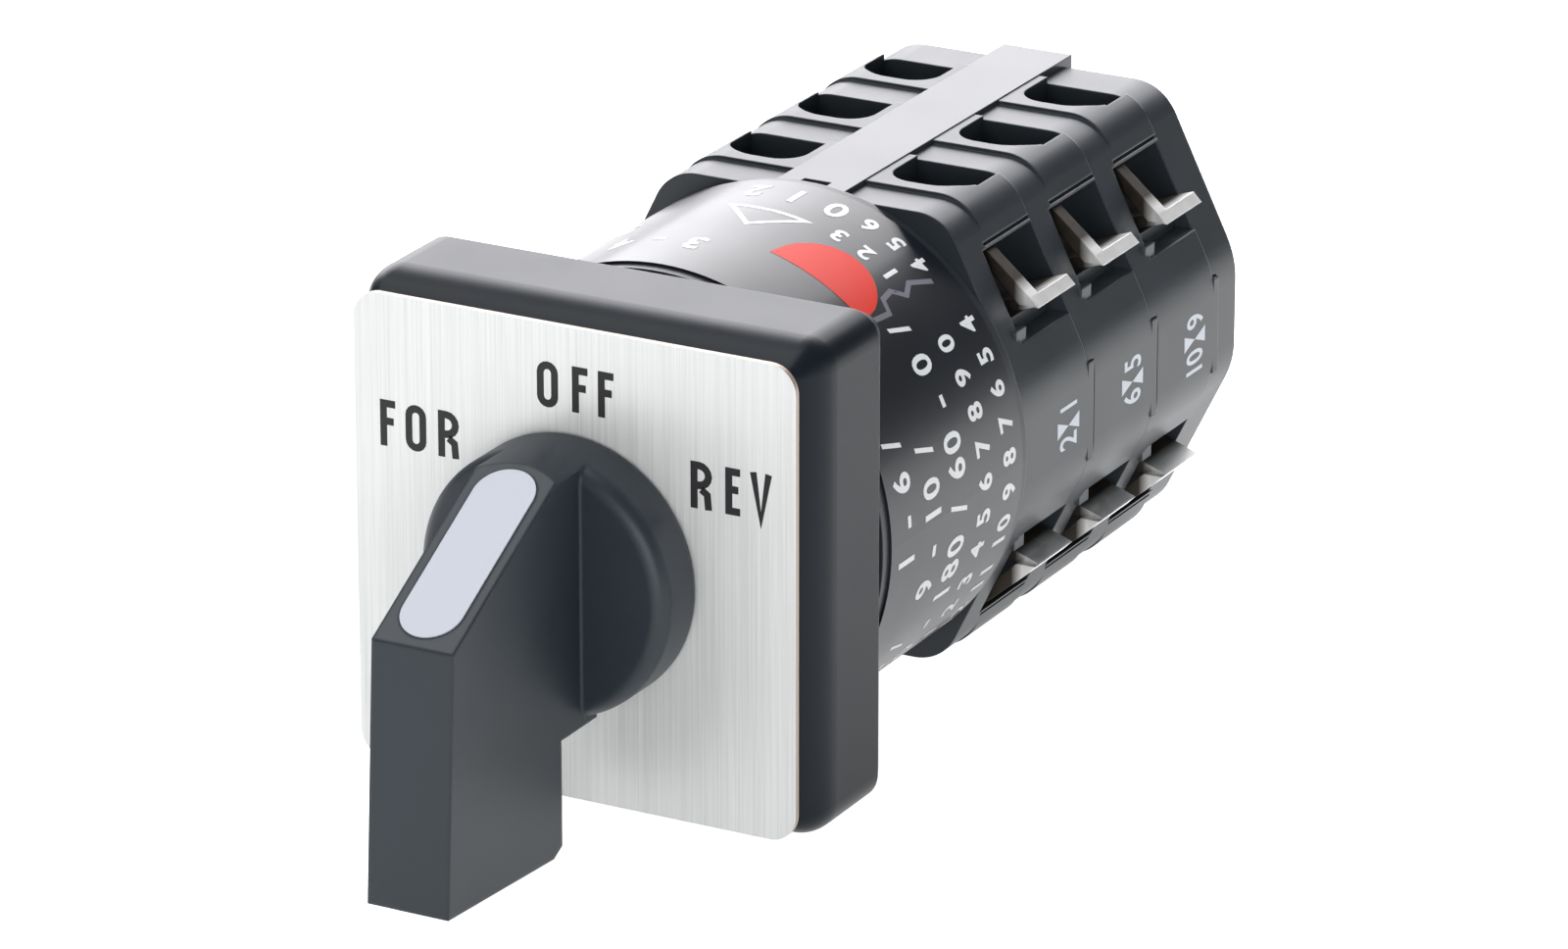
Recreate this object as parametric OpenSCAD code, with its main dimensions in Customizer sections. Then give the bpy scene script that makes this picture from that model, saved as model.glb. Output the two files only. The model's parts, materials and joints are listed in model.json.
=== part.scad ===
// Panel-mounted reversing drum switch: knob and face plate in front of the panel,
// detent housing, three contact decks and an end plate behind it.
// Millimetres. The panel seat is the plane y = 0, the switch axis is the Y axis,
// -Y faces the operator and +Z points to the OFF legend.

/* [Bezel] */
// Outside width and height of the bezel
bezel_w = 49.8; // [46:0.1:54]
// Corner radius of the bezel
bezel_corner_r = 3; // [2:0.5:6]
// Length of the bezel's straight sides, from the panel seat
bezel_straight = 10.5; // [8:0.1:12]
// Radius of the rounding between straight sides and front
bezel_edge_r = 7; // [6.8:0.1:9]
// Bevel of the bezel's back edge, sideways
bezel_bevel = 1; // [0.6:0.1:1.4]
// Bevel of the bezel's back edge, along the depth
bezel_bevel_l = 2; // [1:0.1:3]
// Wall thickness of the bezel moulding
bezel_wall = 2.2; // [1.6:0.1:3]
// Depth of the round recess that locates the housing
spigot_d = 0.6; // [0.4:0.1:1]
// Radial room round the housing in that recess
spigot_room = 0.5; // [0.3:0.1:0.8]

/* [Face plate] */
// Width and height of the face plate
plate_w = 47.8; // [42:0.1:50]
// Thickness of the face plate
plate_t = 0.6; // [0.4:0.1:1]
// Corner radius of the face plate
plate_corner_r = 2.8; // [2:0.1:6]
// Distance from the panel seat to the front of the face plate
plate_front = 16.8; // [15:0.1:19]
// Radius of the face plate's centre hole
plate_hole_r = 7; // [6.8:0.1:8]

/* [Knob] */
// Gap between face plate and knob
knob_gap = 0.5; // [0.3:0.1:1]
// Radius of the knob base
knob_r = 13.4; // [12:0.1:15]
// Rounding of the knob base's front edge
knob_edge_r = 1.5; // [0.8:0.1:2]
// Length of the knob base
knob_base_l = 5.9; // [5:0.1:8]
// Depth of the hollow in the back of the knob base
knob_hollow_d = 3.6; // [2:0.1:4.5]
// Wall round that hollow
knob_skirt = 1.8; // [1.2:0.1:2.6]
// Radius of the hub that grips the shaft
knob_hub_r = 6; // [5.6:0.1:7]
// Thickness of the lever
lever_t = 8.7; // [7:0.1:10]
// Reach of the lever's top front edge from the panel seat
lever_top_reach = 46.7; // [42:0.1:52]
// Height of that edge above the axis
lever_top_z = 2.2; // [0:0.1:4]
// Reach of the slope's upper end, at the top of the knob base
slope_top_reach = 26.3; // [25:0.1:28]
// Reach of the lever's bottom front edge
lever_tip_reach = 48.3; // [44:0.1:54]
// Drop of the lever's bottom front edge below the axis
lever_drop = 23.7; // [22:0.1:27]
// Drop of the lever's underside at its back
lever_foot_drop = 24.9; // [23:0.1:28]
// Chamfer between the lever's underside and its back
lever_heel = 1.6; // [0.5:0.1:3]
// Reach of the lever's back face
lever_back_reach = 27; // [25:0.1:29]
// Width of the pointer insert
insert_w = 6.4; // [5:0.1:7.4]
// Length of the pointer insert
insert_l = 21.2; // [17:0.1:21.5]
// Depth of the insert in the lever
insert_t = 1.2; // [0.8:0.1:2]
// How far the insert stands proud
insert_proud = 0.12; // [0.05:0.01:0.3]
// Slope length from the lever's front edge to the insert
insert_margin = 1.2; // [0.6:0.1:2]
// Depth of the square socket in the knob
socket_d = 13; // [10:0.5:15]

/* [Housing] */
// Radius of the detent housing
drum_r = 24.6; // [23.5:0.1:26]
// Wall thickness of the housing
drum_wall = 2.4; // [1.8:0.1:3]
// Thickness of the housing's front wall
drum_front_t = 3; // [2.5:0.1:4]
// Thickness of the label wrap
label_t = 0.27; // [0.15:0.01:0.4]
// Front edge of the label behind the panel seat
label_y0 = 0.7; // [0.4:0.1:2]
// Rear edge of the label behind the panel seat
label_y1 = 28.3; // [26:0.1:29]

/* [Decks] */
// Front face of the first deck behind the panel seat
deck_y0 = 29.8; // [29.2:0.1:32]
// Length of one contact deck
deck_l = 14.4; // [14:0.1:16]
// Half width of the decks at the sides
deck_half_w = 24.15; // [23.6:0.05:26]
// Half height of a deck's body
deck_half_h = 23.8; // [23.2:0.05:25]
// Step down to the front land of each deck
land_step = 0.4; // [0.2:0.05:0.6]
// Length of that front land
land_l = 5.1; // [4.4:0.1:5.8]
// Half height of the upright side band
side_z = 5.6; // [4.5:0.1:7]
// Lean of the sloping sides
side_lean = 26.2; // [24:0.1:28]
// Rounding of the shoulders
shoulder_r = 5; // [3.5:0.5:6]
// Rounding between side band and slope
side_round_r = 9; // [6:0.5:12]
// Thickness of a deck's front wall
deck_floor = 3.4; // [3:0.1:3.6]
// Half height of the interlocking side tabs
tab_z = 5.1; // [4:0.1:6]
// Depth of the interlocking side tabs
tab_d = 1.2; // [0.8:0.1:1.6]
// Thickness of the interlocking side tabs
tab_t = 1.5; // [1.2:0.1:1.7]
// Play round the tabs
tab_play = 0.15; // [0.1:0.05:0.3]
// Thickness of the end plate
end_t = 6.8; // [6:0.1:9]
// Wall of the end plate round its bearing
end_wall = 4; // [3:0.1:4.5]
// How far the end plate stands back from the decks all round
end_inset = 0.3; // [0.1:0.1:0.6]
// Depth of the shoulder round the end plate's rear edge
end_shoulder = 1; // [0.5:0.1:2]

/* [Screwdriver openings] */
// Nearest edge of the top openings, as a share of the decks' half width
open_near_share = 0.203; // [0.19:0.001:0.22]
// Furthest edge of the top openings, as a share of the decks' half width
open_far_share = 0.576; // [0.55:0.001:0.6]
// Front edge of the top openings from the deck's front face
open_y = 6.8; // [6.2:0.1:8]
// Inner front corner radius of the openings
open_in_r = 3; // [2:0.1:4]
// Outer front corner radius of the openings
open_out_r = 4.2; // [1:0.1:4.4]

/* [Wire openings] */
// Front edge of the side windows from the deck's front face
window_y = 3.9; // [3.6:0.1:4.6]
// Lower edge of the side windows
window_z0 = 10.1; // [9.6:0.1:11]
// Upper edge of the side windows
window_z1 = 19; // [18.6:0.1:19.4]
// Outer step of the windows, as a share of the decks' half width
window_step_share = 0.812; // [0.8:0.001:0.83]
// Width of the small finger beside the terminal
hook_w = 1.4; // [1:0.1:1.8]

/* [Locking strips] */
// Half width of the locking strips, as a share of the decks' half width
strip_share = 0.1615; // [0.14:0.0005:0.175]
// Thickness of the locking strips
strip_t = 1.8; // [1.4:0.1:2.2]
// How far the strips stand above the deck bodies
strip_proud = 0.1; // [0.05:0.05:0.2]
// Front end of the strips from the first deck's front face
strip_lead = 0.6; // [0.3:0.1:1]
// How far the strips stand out behind the end plate
strip_tail = 0.8; // [0.4:0.1:1.2]
// Half width of the release slot
strip_slot_half_w = 1.5; // [1:0.1:2]
// Length of the release slot
strip_slot_l = 1; // [0.6:0.1:1.6]

/* [Terminals] */
// Thickness of the terminal strip
term_t = 1.2; // [1:0.05:1.4]
// Underside of the terminal plate above the axis
term_z = 11.7; // [11.4:0.1:12.6]
// Front edge of the terminal from the deck's front face
term_y0 = 5.2; // [4.8:0.1:5.6]
// Rear edge of the terminal
term_y1 = 13.3; // [12.8:0.1:13.6]
// Width of the terminal's guide arm
term_arm_w = 1.7; // [1.2:0.1:2]
// Inner end of the terminal plate, as a share of the decks' half width
term_in_share = 0.232; // [0.225:0.001:0.25]
// Inner side of the guide arm, as a share of the decks' half width
term_arm_share = 0.671; // [0.65:0.001:0.69]
// Where the strip bends up, as a share of the decks' half width
term_bend_share = 0.737; // [0.72:0.001:0.76]
// Outer end of the wire lip, as a share of the decks' half width
lip_share = 0.957; // [0.94:0.001:0.98]
// Underside of the wire lip at its end
lip_z = 13.6; // [13:0.1:14]
// Inner face of the fixed contact leg, as a share of the decks' half width
leg_share = 0.538; // [0.52:0.001:0.55]
// Thickness of the fixed contact leg
leg_t = 1; // [0.8:0.1:1.1]
// Foot of the fixed contact leg
leg_z = 4.6; // [4.3:0.1:5]
// Thickness of the contact pad
pad_t = 0.8; // [0.5:0.1:0.9]
// Height of the contact pad
pad_h = 2.6; // [2:0.1:3]
// Terminal screw position across, as a share of the decks' half width
screw_share = 0.389; // [0.38:0.001:0.4]
// Terminal screw position from the deck's front face
screw_y = 10.4; // [10:0.1:10.6]
// Terminal screw head radius
screw_head_r = 2.8; // [2.4:0.1:3]
// Terminal screw head height
screw_head_h = 2.2; // [1.8:0.1:2.4]
// Terminal screw shank radius
screw_r = 1.6; // [1.4:0.1:1.8]
// Clamp washer thickness
washer_t = 1; // [0.8:0.1:1.2]
// Clamp washer width
washer_w = 5.8; // [5.6:0.1:6]
// Width of a screwdriver slot
slot_w = 0.8; // [0.6:0.1:1]
// Depth of a screwdriver slot
slot_d = 1; // [0.6:0.1:1.2]

/* [Shaft and cams] */
// Side of the square shaft
shaft_sq = 6; // [5.6:0.1:6.4]
// Play of everything that sits on the square
square_play = 0.05; // [0.03:0.01:0.08]
// Radius of the shaft's front journal
journal_r = 4.6; // [4.4:0.1:5]
// Running clearance of the journals
bearing_play = 0.05; // [0.03:0.01:0.08]
// Wall of the shaft bush
bush_wall = 1.6; // [1.2:0.1:2]
// Radius of the shaft's rear journal
tail_r = 2.8; // [2.6:0.1:2.9]
// Radius of the shaft's thrust collar
collar_r = 6.4; // [5.8:0.1:7]
// Thickness of the thrust collar
collar_t = 1.2; // [1:0.1:2]
// Middle radius of the cam ramps, as a share of the decks' half width
cam_share = 0.3313; // [0.32:0.0001:0.34]
// Width of a cam
cam_w = 7.4; // [6.6:0.1:7.6]
// Radius of the cam hubs
cam_hub_r = 5.2; // [5:0.1:5.6]
// Gap between neighbouring hubs
hub_gap = 0.3; // [0.2:0.05:0.4]
// Knob travel each way, degrees
throw_deg = 60; // [60:1:60]
// Spread of each cam ramp either side of its middle, degrees
ramp_deg = 72; // [68:1:76]

/* [Plungers] */
// Plunger stroke each way from OFF
stroke = 1.5; // [1.3:0.1:1.6]
// Gap between cam and plunger nose
nose_gap = 0.45; // [0.35:0.05:0.5]
// Half height of the plungers
plunger_half_h = 3.5; // [3.2:0.1:3.7]
// Front of the plungers from the deck's front face
plunger_y0 = 6.4; // [6:0.1:6.6]
// Width of the plungers
plunger_w = 7.8; // [7:0.1:7.8]
// Half height of the plunger nose
nose_half_h = 1.1; // [0.8:0.1:1.4]
// Length of the nose's taper
nose_l = 2.2; // [1.8:0.1:2.6]
// Sliding clearance round the plungers
slide_play = 0.12; // [0.1:0.01:0.2]
// Bridging contact thickness
bridge_t = 1; // [0.8:0.1:1.2]
// Bridging contact half length
bridge_half_l = 8.2; // [8:0.1:8.4]
// Bridging contact width
bridge_w = 3.8; // [3.4:0.1:4]
// Air left between bridge and pads when closed
closed_gap = 0.1; // [0.05:0.05:0.15]
// Plunger length behind the bridge
heel_t = 0.6; // [0.5:0.1:0.8]
// Wire radius of the contact springs
spring_wire_r = 0.28; // [0.24:0.02:0.32]
// Coil radius of the contact springs
spring_r = 2.2; // [1.9:0.1:2.4]
// Wall between contact spring and side tab
spring_wall = 0.4; // [0.3:0.05:0.6]

/* [Detent] */
// Front of the detent wheel behind the panel seat
wheel_y0 = 12.4; // [12.2:0.1:12.8]
// Width of the detent wheel
wheel_w = 5; // [4.4:0.1:5.4]
// Radius of the detent wheel's lobes, as a share of the housing's radius
wheel_share = 0.447; // [0.42:0.001:0.46]
// Radius of the notches in the wheel
notch_r = 2.2; // [1.9:0.1:2.4]
// Radius of the stop arm, as a share of the housing's radius
stop_share = 0.638; // [0.62:0.001:0.65]
// Half width of the stop arm
stop_half_w = 2.5; // [2:0.1:2.8]
// Radius of the stop posts
post_r = 2; // [1.8:0.1:2.2]
// Distance of the stop posts from the axis, as a share of the housing's radius
post_share = 0.569; // [0.55:0.001:0.58]
// Gap between arm and post at the end of the throw
stop_gap = 0.3; // [0.2:0.05:0.4]
// Thickness of the detent leaf
leaf_t = 0.6; // [0.4:0.05:0.7]
// Width of the detent leaf
leaf_w = 4.2; // [3.8:0.1:4.4]
// Half span of the detent leaf, as a share of the housing's radius
leaf_span_share = 0.65; // [0.61:0.001:0.67]
// Distance of the leaf's ends below the axis, as a share of the housing's radius
leaf_share = 0.569; // [0.55:0.001:0.59]
// Length of the leaf's seat at each end
leaf_seat = 3; // [2.5:0.1:3.5]
// Clearance between the leaf's nose and the lobes it rides over
leaf_gap = 0.3; // [0.2:0.05:0.4]
// Thickness of the ribs that hold the leaf
leaf_rib = 1.2; // [1:0.1:1.5]

/* [Fasteners] */
// Spacing of the panel fixing screws, as a share of the housing's radius
fix_share = 1.138; // [1.1:0.001:1.18]
// Shank radius of the panel fixing screws
fix_r = 1.9; // [1.7:0.05:2]
// Head radius of the panel fixing screws
fix_head_r = 3.6; // [3.2:0.1:3.8]
// Head height of the panel fixing screws
fix_head_h = 2.6; // [2.2:0.1:3]
// Reach of the panel fixing screws behind the panel seat
fix_reach = 9; // [7:0.5:10]
// Radius of the screw bosses
boss_r = 3.6; // [3.4:0.1:3.8]
// Play of screws in their holes
screw_play = 0.05; // [0.03:0.01:0.08]
// Clearance of screws through holes
through_play = 0.3; // [0.2:0.05:0.4]
// Distance of the tie screws from the axis
tie_z = 18.4; // [18:0.1:18.6]
// Shank radius of the tie screws
tie_r = 1.5; // [1.4:0.05:1.6]
// Head radius of the tie screws
tie_head_r = 2.8; // [2.5:0.1:2.9]
// Head height of the tie screws
tie_head_h = 2.2; // [2:0.1:2.6]
// Length of the tie screws' thread in the housing
tie_grip = 9; // [7:0.5:9.5]
// Radius of the set screw in the knob
set_r = 1.45; // [1.3:0.05:1.6]
// Length of the set screw
set_l = 6; // [5:0.5:7]
// Thickness of the shaft's retaining clip
clip_t = 0.7; // [0.6:0.05:0.8]
// Outside radius of the retaining clip
clip_r = 4.6; // [4.2:0.1:5]
// Depth of the clip's groove in the shaft
clip_groove = 0.5; // [0.4:0.05:0.6]

/* [Hidden] */
$fn = 48;

coil_steps = 14;
coil_sides = 6;
deck_count = 3;

black = [0.13, 0.14, 0.15];
dark = [0.18, 0.19, 0.2];
silver = [0.8, 0.81, 0.82];
steel = [0.62, 0.63, 0.65];
brass = [0.78, 0.63, 0.32];
copper = [0.72, 0.45, 0.28];
pale = [0.87, 0.88, 0.94];
natural = [0.82, 0.78, 0.68];

notch_share = 0.75;
foot_share = 1.1;
cover_share = 0.7;
clip_share = 0.8;
coil_share = 4;
tip_share = 1.2;

bezel_half = bezel_w / 2;
pad_front = plate_front - plate_t;
knob_back = plate_front + knob_gap;
knob_front = knob_back + knob_base_l;
lever_half = lever_t / 2;
slope_run = lever_top_reach - slope_top_reach;
slope_rise = knob_r - lever_top_z;
slope_deg = atan(slope_rise / slope_run);
deck_end = deck_y0 + deck_count * deck_l;
rear_y = deck_end + end_t;
land_half_h = deck_half_h - land_step;
strip_top = deck_half_h + strip_proud;
strip_bed = strip_top - strip_t;
strip_half_w = deck_half_w * strip_share;
open_x0 = deck_half_w * open_near_share;
open_x1 = deck_half_w * open_far_share;
window_step_x = deck_half_w * window_step_share;
term_x0 = deck_half_w * term_in_share;
term_x1 = deck_half_w * term_arm_share;
bend_x = deck_half_w * term_bend_share;
lip_x1 = deck_half_w * lip_share;
leg_x = deck_half_w * leg_share;
screw_x = deck_half_w * screw_share;
cam_r = deck_half_w * cam_share;
wheel_r = drum_r * wheel_share;
stop_r = drum_r * stop_share;
post_at = drum_r * post_share;
leaf_half_l = drum_r * leaf_span_share;
leaf_z = drum_r * leaf_share;
fix_pitch = drum_r * fix_share;
bridge_x = leg_x + leg_t + pad_t + closed_gap + stroke;
heel_x = bridge_x + bridge_t + heel_t;
seat_x = deck_half_w - tab_t - tab_play - spring_wall;
chan_half = plunger_half_h + slide_play;
cavity_r = cam_r + stroke + nose_gap * 3;
cam_step = stroke / throw_deg;
term_top = term_z + term_t;
post_deg = throw_deg + asin((stop_half_w + post_r + stop_gap) / post_at);

// Corner rounding of a convex outline: tangent points and circle centres.
function unit(v) = v / norm(v);
function corner_cos(p, a, b) = unit(a - p) * unit(b - p);
function half_turn(p, a, b) = acos(corner_cos(p, a, b)) / 2;
function tangent(p, a, b, r) = p + unit(a - p) * r / tan(half_turn(p, a, b));
function centre(p, a, b, r) =
    p + unit(unit(a - p) + unit(b - p)) * r / sin(half_turn(p, a, b));

module round_poly(pts, rs) {
    n = len(pts);
    polygon([for (i = [0 : n - 1]) for (k = [0, 1])
        let (p = pts[i], a = pts[(i + n - 1) % n], b = pts[(i + 1) % n])
        k == 0 ? tangent(p, a, b, rs[i]) : tangent(p, b, a, rs[i])]);
    for (i = [0 : n - 1]) {
        translate(centre(pts[i], pts[(i + n - 1) % n], pts[(i + 1) % n], rs[i]))
            circle(r = rs[i]);
    }
}

module round_square(half, r) {
    square([half * 2, (half - r) * 2], center = true);
    square([(half - r) * 2, half * 2], center = true);
    for (sx = [-1, 1], sy = [-1, 1]) {
        translate([sx * (half - r), sy * (half - r)])
            circle(r = r);
    }
}

// Profile in X and Z, extruded from y0 along +Y.
module along_y(y0, l) {
    translate([0, y0 + l, 0])
        rotate([90, 0, 0])
            linear_extrude(height = l)
                children();
}

module rod_y(x, z, y0, l, r) {
    translate([x, y0 + l, z])
        rotate([90, 0, 0])
            cylinder(h = l, r = r);
}

module block(x0, x1, y0, y1, z0, z1) {
    translate([x0, y0, z0])
        cube([x1 - x0, y1 - y0, z1 - z0]);
}

module four_ways() {
    for (sx = [0, 1], sz = [0, 1]) {
        mirror([sx, 0, 0])
            mirror([0, 0, sz])
                children();
    }
}

module fix_points() {
    for (sx = [-1, 1], sz = [-1, 1]) {
        translate([sx * fix_pitch / 2, 0, sz * fix_pitch / 2])
            children();
    }
}

// Side profile of the bezel: distance from the corner's centre, depth from the seat.
module rim_profile() {
    polygon([
        [0, 0], [bezel_corner_r - bezel_bevel, 0], [bezel_corner_r, bezel_bevel_l],
        [bezel_corner_r, bezel_straight], [0, bezel_straight]]);
    intersection() {
        square([bezel_corner_r, pad_front]);
        translate([bezel_corner_r - bezel_edge_r, bezel_straight])
            circle(r = bezel_edge_r);
    }
}

module bezel_body() {
    flat = bezel_half - bezel_corner_r;
    block(-flat, flat, -pad_front, 0, -flat, flat);
    for (a = [0 : 90 : 270]) {
        rotate([0, a, 0]) {
            translate([flat, 0, flat])
                rotate([90, 0, 0])
                    rotate_extrude(angle = 90)
                        rim_profile();
            translate([flat, 0, -flat])
                linear_extrude(height = flat * 2)
                    mirror([0, 1, 0])
                        rim_profile();
        }
    }
}

module bezel_frame() {
    inner = bezel_half - bezel_bevel - bezel_wall;
    pad_inner = bezel_half - bezel_corner_r - bezel_wall;
    color(black)
        difference() {
            bezel_body();
            rod_y(0, 0, -spigot_d, spigot_d * 2, drum_r + spigot_room);
            along_y(-bezel_straight, bezel_straight * 2)
                difference() {
                    intersection() {
                        round_square(inner, bezel_corner_r);
                        circle(r = drum_r - bezel_wall);
                    }
                    bezel_bosses();
                }
            along_y(bezel_wall - pad_front, pad_front - bezel_wall * 2)
                difference() {
                    round_square(pad_inner, bezel_corner_r);
                    bezel_bosses();
                }
            rod_y(0, 0, -pad_front - bezel_wall, pad_front * 2, journal_r + bush_wall + through_play);
            fix_points() {
                rod_y(0, 0, -pad_front, pad_front * 2, fix_r + through_play);
                rod_y(0, 0, -pad_front - bezel_wall, pad_front - fix_reach / 3,
                    fix_head_r + through_play);
            }
        }
}

module bezel_bosses() {
    circle(r = plate_hole_r + bezel_wall);
    for (sx = [-1, 1], sz = [-1, 1]) {
        translate([sx * fix_pitch / 2, sz * fix_pitch / 2])
            circle(r = fix_head_r + through_play + bezel_wall / 2);
    }
}

module face_plate() {
    color(silver)
        along_y(-plate_front, plate_t)
            difference() {
                round_square(plate_w / 2, plate_corner_r);
                circle(r = plate_hole_r);
            }
}

module bezel_screws() {
    head_y = -fix_reach / 3 - bezel_wall;
    color(steel)
        fix_points() {
            difference() {
                union() {
                    rod_y(0, 0, head_y, fix_reach - head_y, fix_r);
                    rod_y(0, 0, head_y - fix_head_h, fix_head_h, fix_head_r);
                }
                block(-fix_head_r, fix_head_r, head_y - fix_head_h, head_y - fix_head_h + slot_d,
                    -slot_w / 2, slot_w / 2);
            }
        }
}

module shaft_bush() {
    front = pad_front - bezel_wall;
    color(brass)
        difference() {
            rod_y(0, 0, -front, front + drum_front_t - spigot_d, journal_r + bush_wall);
            rod_y(0, 0, -pad_front, pad_front * 2, journal_r + bearing_play);
        }
}

// Detent and stop room: cup with screw bosses, tie bosses, stop posts and leaf ribs.
module mechanism_housing() {
    front = -spigot_d;
    floor_y = drum_front_t - spigot_d;
    inner_r = drum_r - drum_wall;
    color(dark)
        difference() {
            union() {
                difference() {
                    rod_y(0, 0, front, deck_y0 - front, drum_r);
                    rod_y(0, 0, floor_y, deck_y0, inner_r);
                }
                intersection() {
                    union() {
                        fix_points()
                            rod_y(0, 0, front + drum_front_t / 2, fix_reach + spigot_d * 3, boss_r);
                        for (s = [-1, 1]) {
                            tie_boss(s);
                            rotate([0, -s * post_deg, 0])
                                rod_y(0, post_at, front + drum_front_t / 2,
                                    wheel_y0 + wheel_w, post_r);
                            leaf_ribs(s);
                        }
                    }
                    rod_y(0, 0, front, deck_y0 - front, inner_r + drum_wall / 2);
                }
            }
            rod_y(0, 0, front - spigot_d, drum_front_t * 2, journal_r + bush_wall);
            fix_points()
                rod_y(0, 0, front - spigot_d, fix_reach + spigot_d * 3, fix_r + screw_play);
            for (s = [-1, 1]) {
                rod_y(0, s * tie_z, deck_y0 - tie_grip - spigot_d, tie_grip * 2, tie_r + screw_play);
            }
        }
}

module tie_boss(s) {
    y0 = deck_y0 - tie_grip - drum_wall;
    rotate([0, s < 0 ? 180 : 0, 0])
        along_y(y0, deck_y0 - y0) {
            translate([0, tie_z])
                circle(r = boss_r);
            translate([-boss_r, tie_z])
                square([boss_r * 2, drum_r - tie_z]);
        }
}

module leaf_ribs(s) {
    x0 = leaf_half_l - leaf_seat;
    y0 = drum_front_t / 2 - spigot_d;
    y1 = wheel_y0 + wheel_w;
    mirror([s < 0 ? 1 : 0, 0, 0]) {
        block(x0, leaf_half_l, y0, y1, -leaf_z, leaf_rib - leaf_z);
        block(x0, leaf_half_l, y0, y1, -leaf_z - leaf_t - leaf_rib, -leaf_z - leaf_t);
    }
}

module label_sleeve() {
    color(black)
        difference() {
            rod_y(0, 0, label_y0, label_y1 - label_y0, drum_r + label_t);
            rod_y(0, 0, 0, deck_y0, drum_r);
        }
}

module detent_spring() {
    tip = leaf_gap + wheel_r;
    rise = leaf_z - tip;
    near = leaf_half_l - leaf_seat;
    color(steel)
        along_y(wheel_y0 + (wheel_w - leaf_w) / 2, leaf_w)
            polygon([
                [-leaf_half_l, -leaf_z], [-near, -leaf_z],
                [-rise * foot_share, -leaf_z + leaf_t], [-leaf_t, -tip],
                [leaf_t, -tip], [rise * foot_share, -leaf_z + leaf_t],
                [near, -leaf_z], [leaf_half_l, -leaf_z],
                [leaf_half_l, -leaf_z - leaf_t], [near, -leaf_z - leaf_t],
                [rise * foot_share, -leaf_z], [leaf_t / 2, -tip - leaf_t * 2],
                [-leaf_t / 2, -tip - leaf_t * 2], [-rise * foot_share, -leaf_z],
                [-near, -leaf_z - leaf_t], [-leaf_half_l, -leaf_z - leaf_t]]);
}

// Cross-section of the decks: side bands, steep slopes and a flat top and bottom.
module deck_outline(half_h, half_w = deck_half_w) {
    kx = half_w - (half_h - side_z) * tan(side_lean);
    round_poly([
        [half_w, -side_z], [half_w, side_z], [kx, half_h], [-kx, half_h],
        [-half_w, side_z], [-half_w, -side_z], [-kx, -half_h], [kx, -half_h]],
        [side_round_r, side_round_r, shoulder_r, shoulder_r,
        side_round_r, side_round_r, shoulder_r, shoulder_r]);
}

module strip_grooves(y0, l) {
    for (s = [0, 1]) {
        mirror([0, 0, s])
            block(-strip_half_w, strip_half_w, y0 - l, y0 + l * 2, strip_bed, deck_half_h * 2);
    }
}

module side_tabs(y0, extra) {
    for (s = [0, 1]) {
        mirror([s, 0, 0])
            block(deck_half_w - tab_t - extra, deck_half_w, y0, y0 + tab_d + extra,
                -tab_z - extra, tab_z + extra);
    }
}

module tab_notches(y0) {
    for (s = [0, 1]) {
        mirror([s, 0, 0])
            block(deck_half_w - tab_t - tab_play, deck_half_w * 2, y0 - tab_d,
                y0 + tab_d + tab_play, -tab_z - tab_play, tab_z + tab_play);
    }
}

// Screwdriver opening: open to the rear, round at its two front corners.
module driver_opening(y0) {
    front = y0 + open_y;
    translate([0, 0, window_z1])
        linear_extrude(height = deck_half_h) {
            translate([open_x0, front + open_in_r])
                square([open_x1 - open_x0, deck_l]);
            translate([open_x0 + open_in_r, front])
                square([open_x1 - open_x0 - open_in_r - open_out_r, deck_l]);
            translate([open_x0 + open_in_r, front + open_in_r])
                circle(r = open_in_r);
            translate([open_x1 - open_out_r, front + open_out_r])
                circle(r = open_out_r);
            translate([open_x1 - open_out_r * 2, front + open_out_r])
                square([open_out_r * 2, deck_l]);
        }
}

// Room for one terminal: clamp room, window with its step, contact leg and screw.
module terminal_room(y0) {
    rear = y0 + deck_l * 2;
    driver_opening(y0);
    block(open_x0, term_x1 + term_t, y0 + window_y + term_t / 2, rear, term_z, window_z1 + term_t / 2);
    block(term_x1, deck_half_w * 2, y0 + window_y, rear, term_z, window_z1);
    block(window_step_x, deck_half_w * 2, y0 + window_y, rear, window_z0, window_z1);
    block(leg_x - leg_t / 2, bridge_x + bridge_t * 2 + stroke, y0 + plunger_y0 - slide_play, rear,
        0, bridge_half_l + leg_t * cover_share);
    block(leg_x - leg_t / 2, leg_x + leg_t + pad_t, y0 + plunger_y0 - slide_play, rear,
        0, term_z + term_t);
    translate([screw_x, y0 + screw_y, term_z - screw_head_h * tip_share - through_play])
        cylinder(h = term_z, r = screw_r + through_play);
}

module finger(y0) {
    block(window_step_x + hook_w / 2, window_step_x + hook_w * 1.5, y0 + window_y - hook_w / 2,
        y0 + window_y + hook_w, window_z0 - hook_w, window_z0 + hook_w);
}

module contact_deck(n) {
    y0 = deck_y0 + (n - 1) * deck_l;
    rear = y0 + deck_l * 2;
    color(black)
        difference() {
            union() {
                difference() {
                    union() {
                        along_y(y0, land_l)
                            deck_outline(land_half_h);
                        along_y(y0 + land_l, deck_l - land_l)
                            deck_outline(deck_half_h);
                    }
                    four_ways()
                        terminal_room(y0);
                }
                four_ways()
                    finger(y0);
                side_tabs(y0 + deck_l, 0);
            }
            strip_grooves(y0, deck_l);
            if (n > 1) {
                tab_notches(y0);
            }
            rod_y(0, 0, y0 - deck_l, deck_l * 3, cam_hub_r + through_play);
            rod_y(0, 0, y0 + deck_floor, deck_l * 2, cavity_r);
            block(-seat_x, seat_x, y0 + plunger_y0 - slide_play, rear, -chan_half, chan_half);
            for (s = [-1, 1]) {
                rod_y(0, s * tie_z, y0 - deck_l, deck_l * 3, tie_r + through_play);
            }
        }
}

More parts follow.
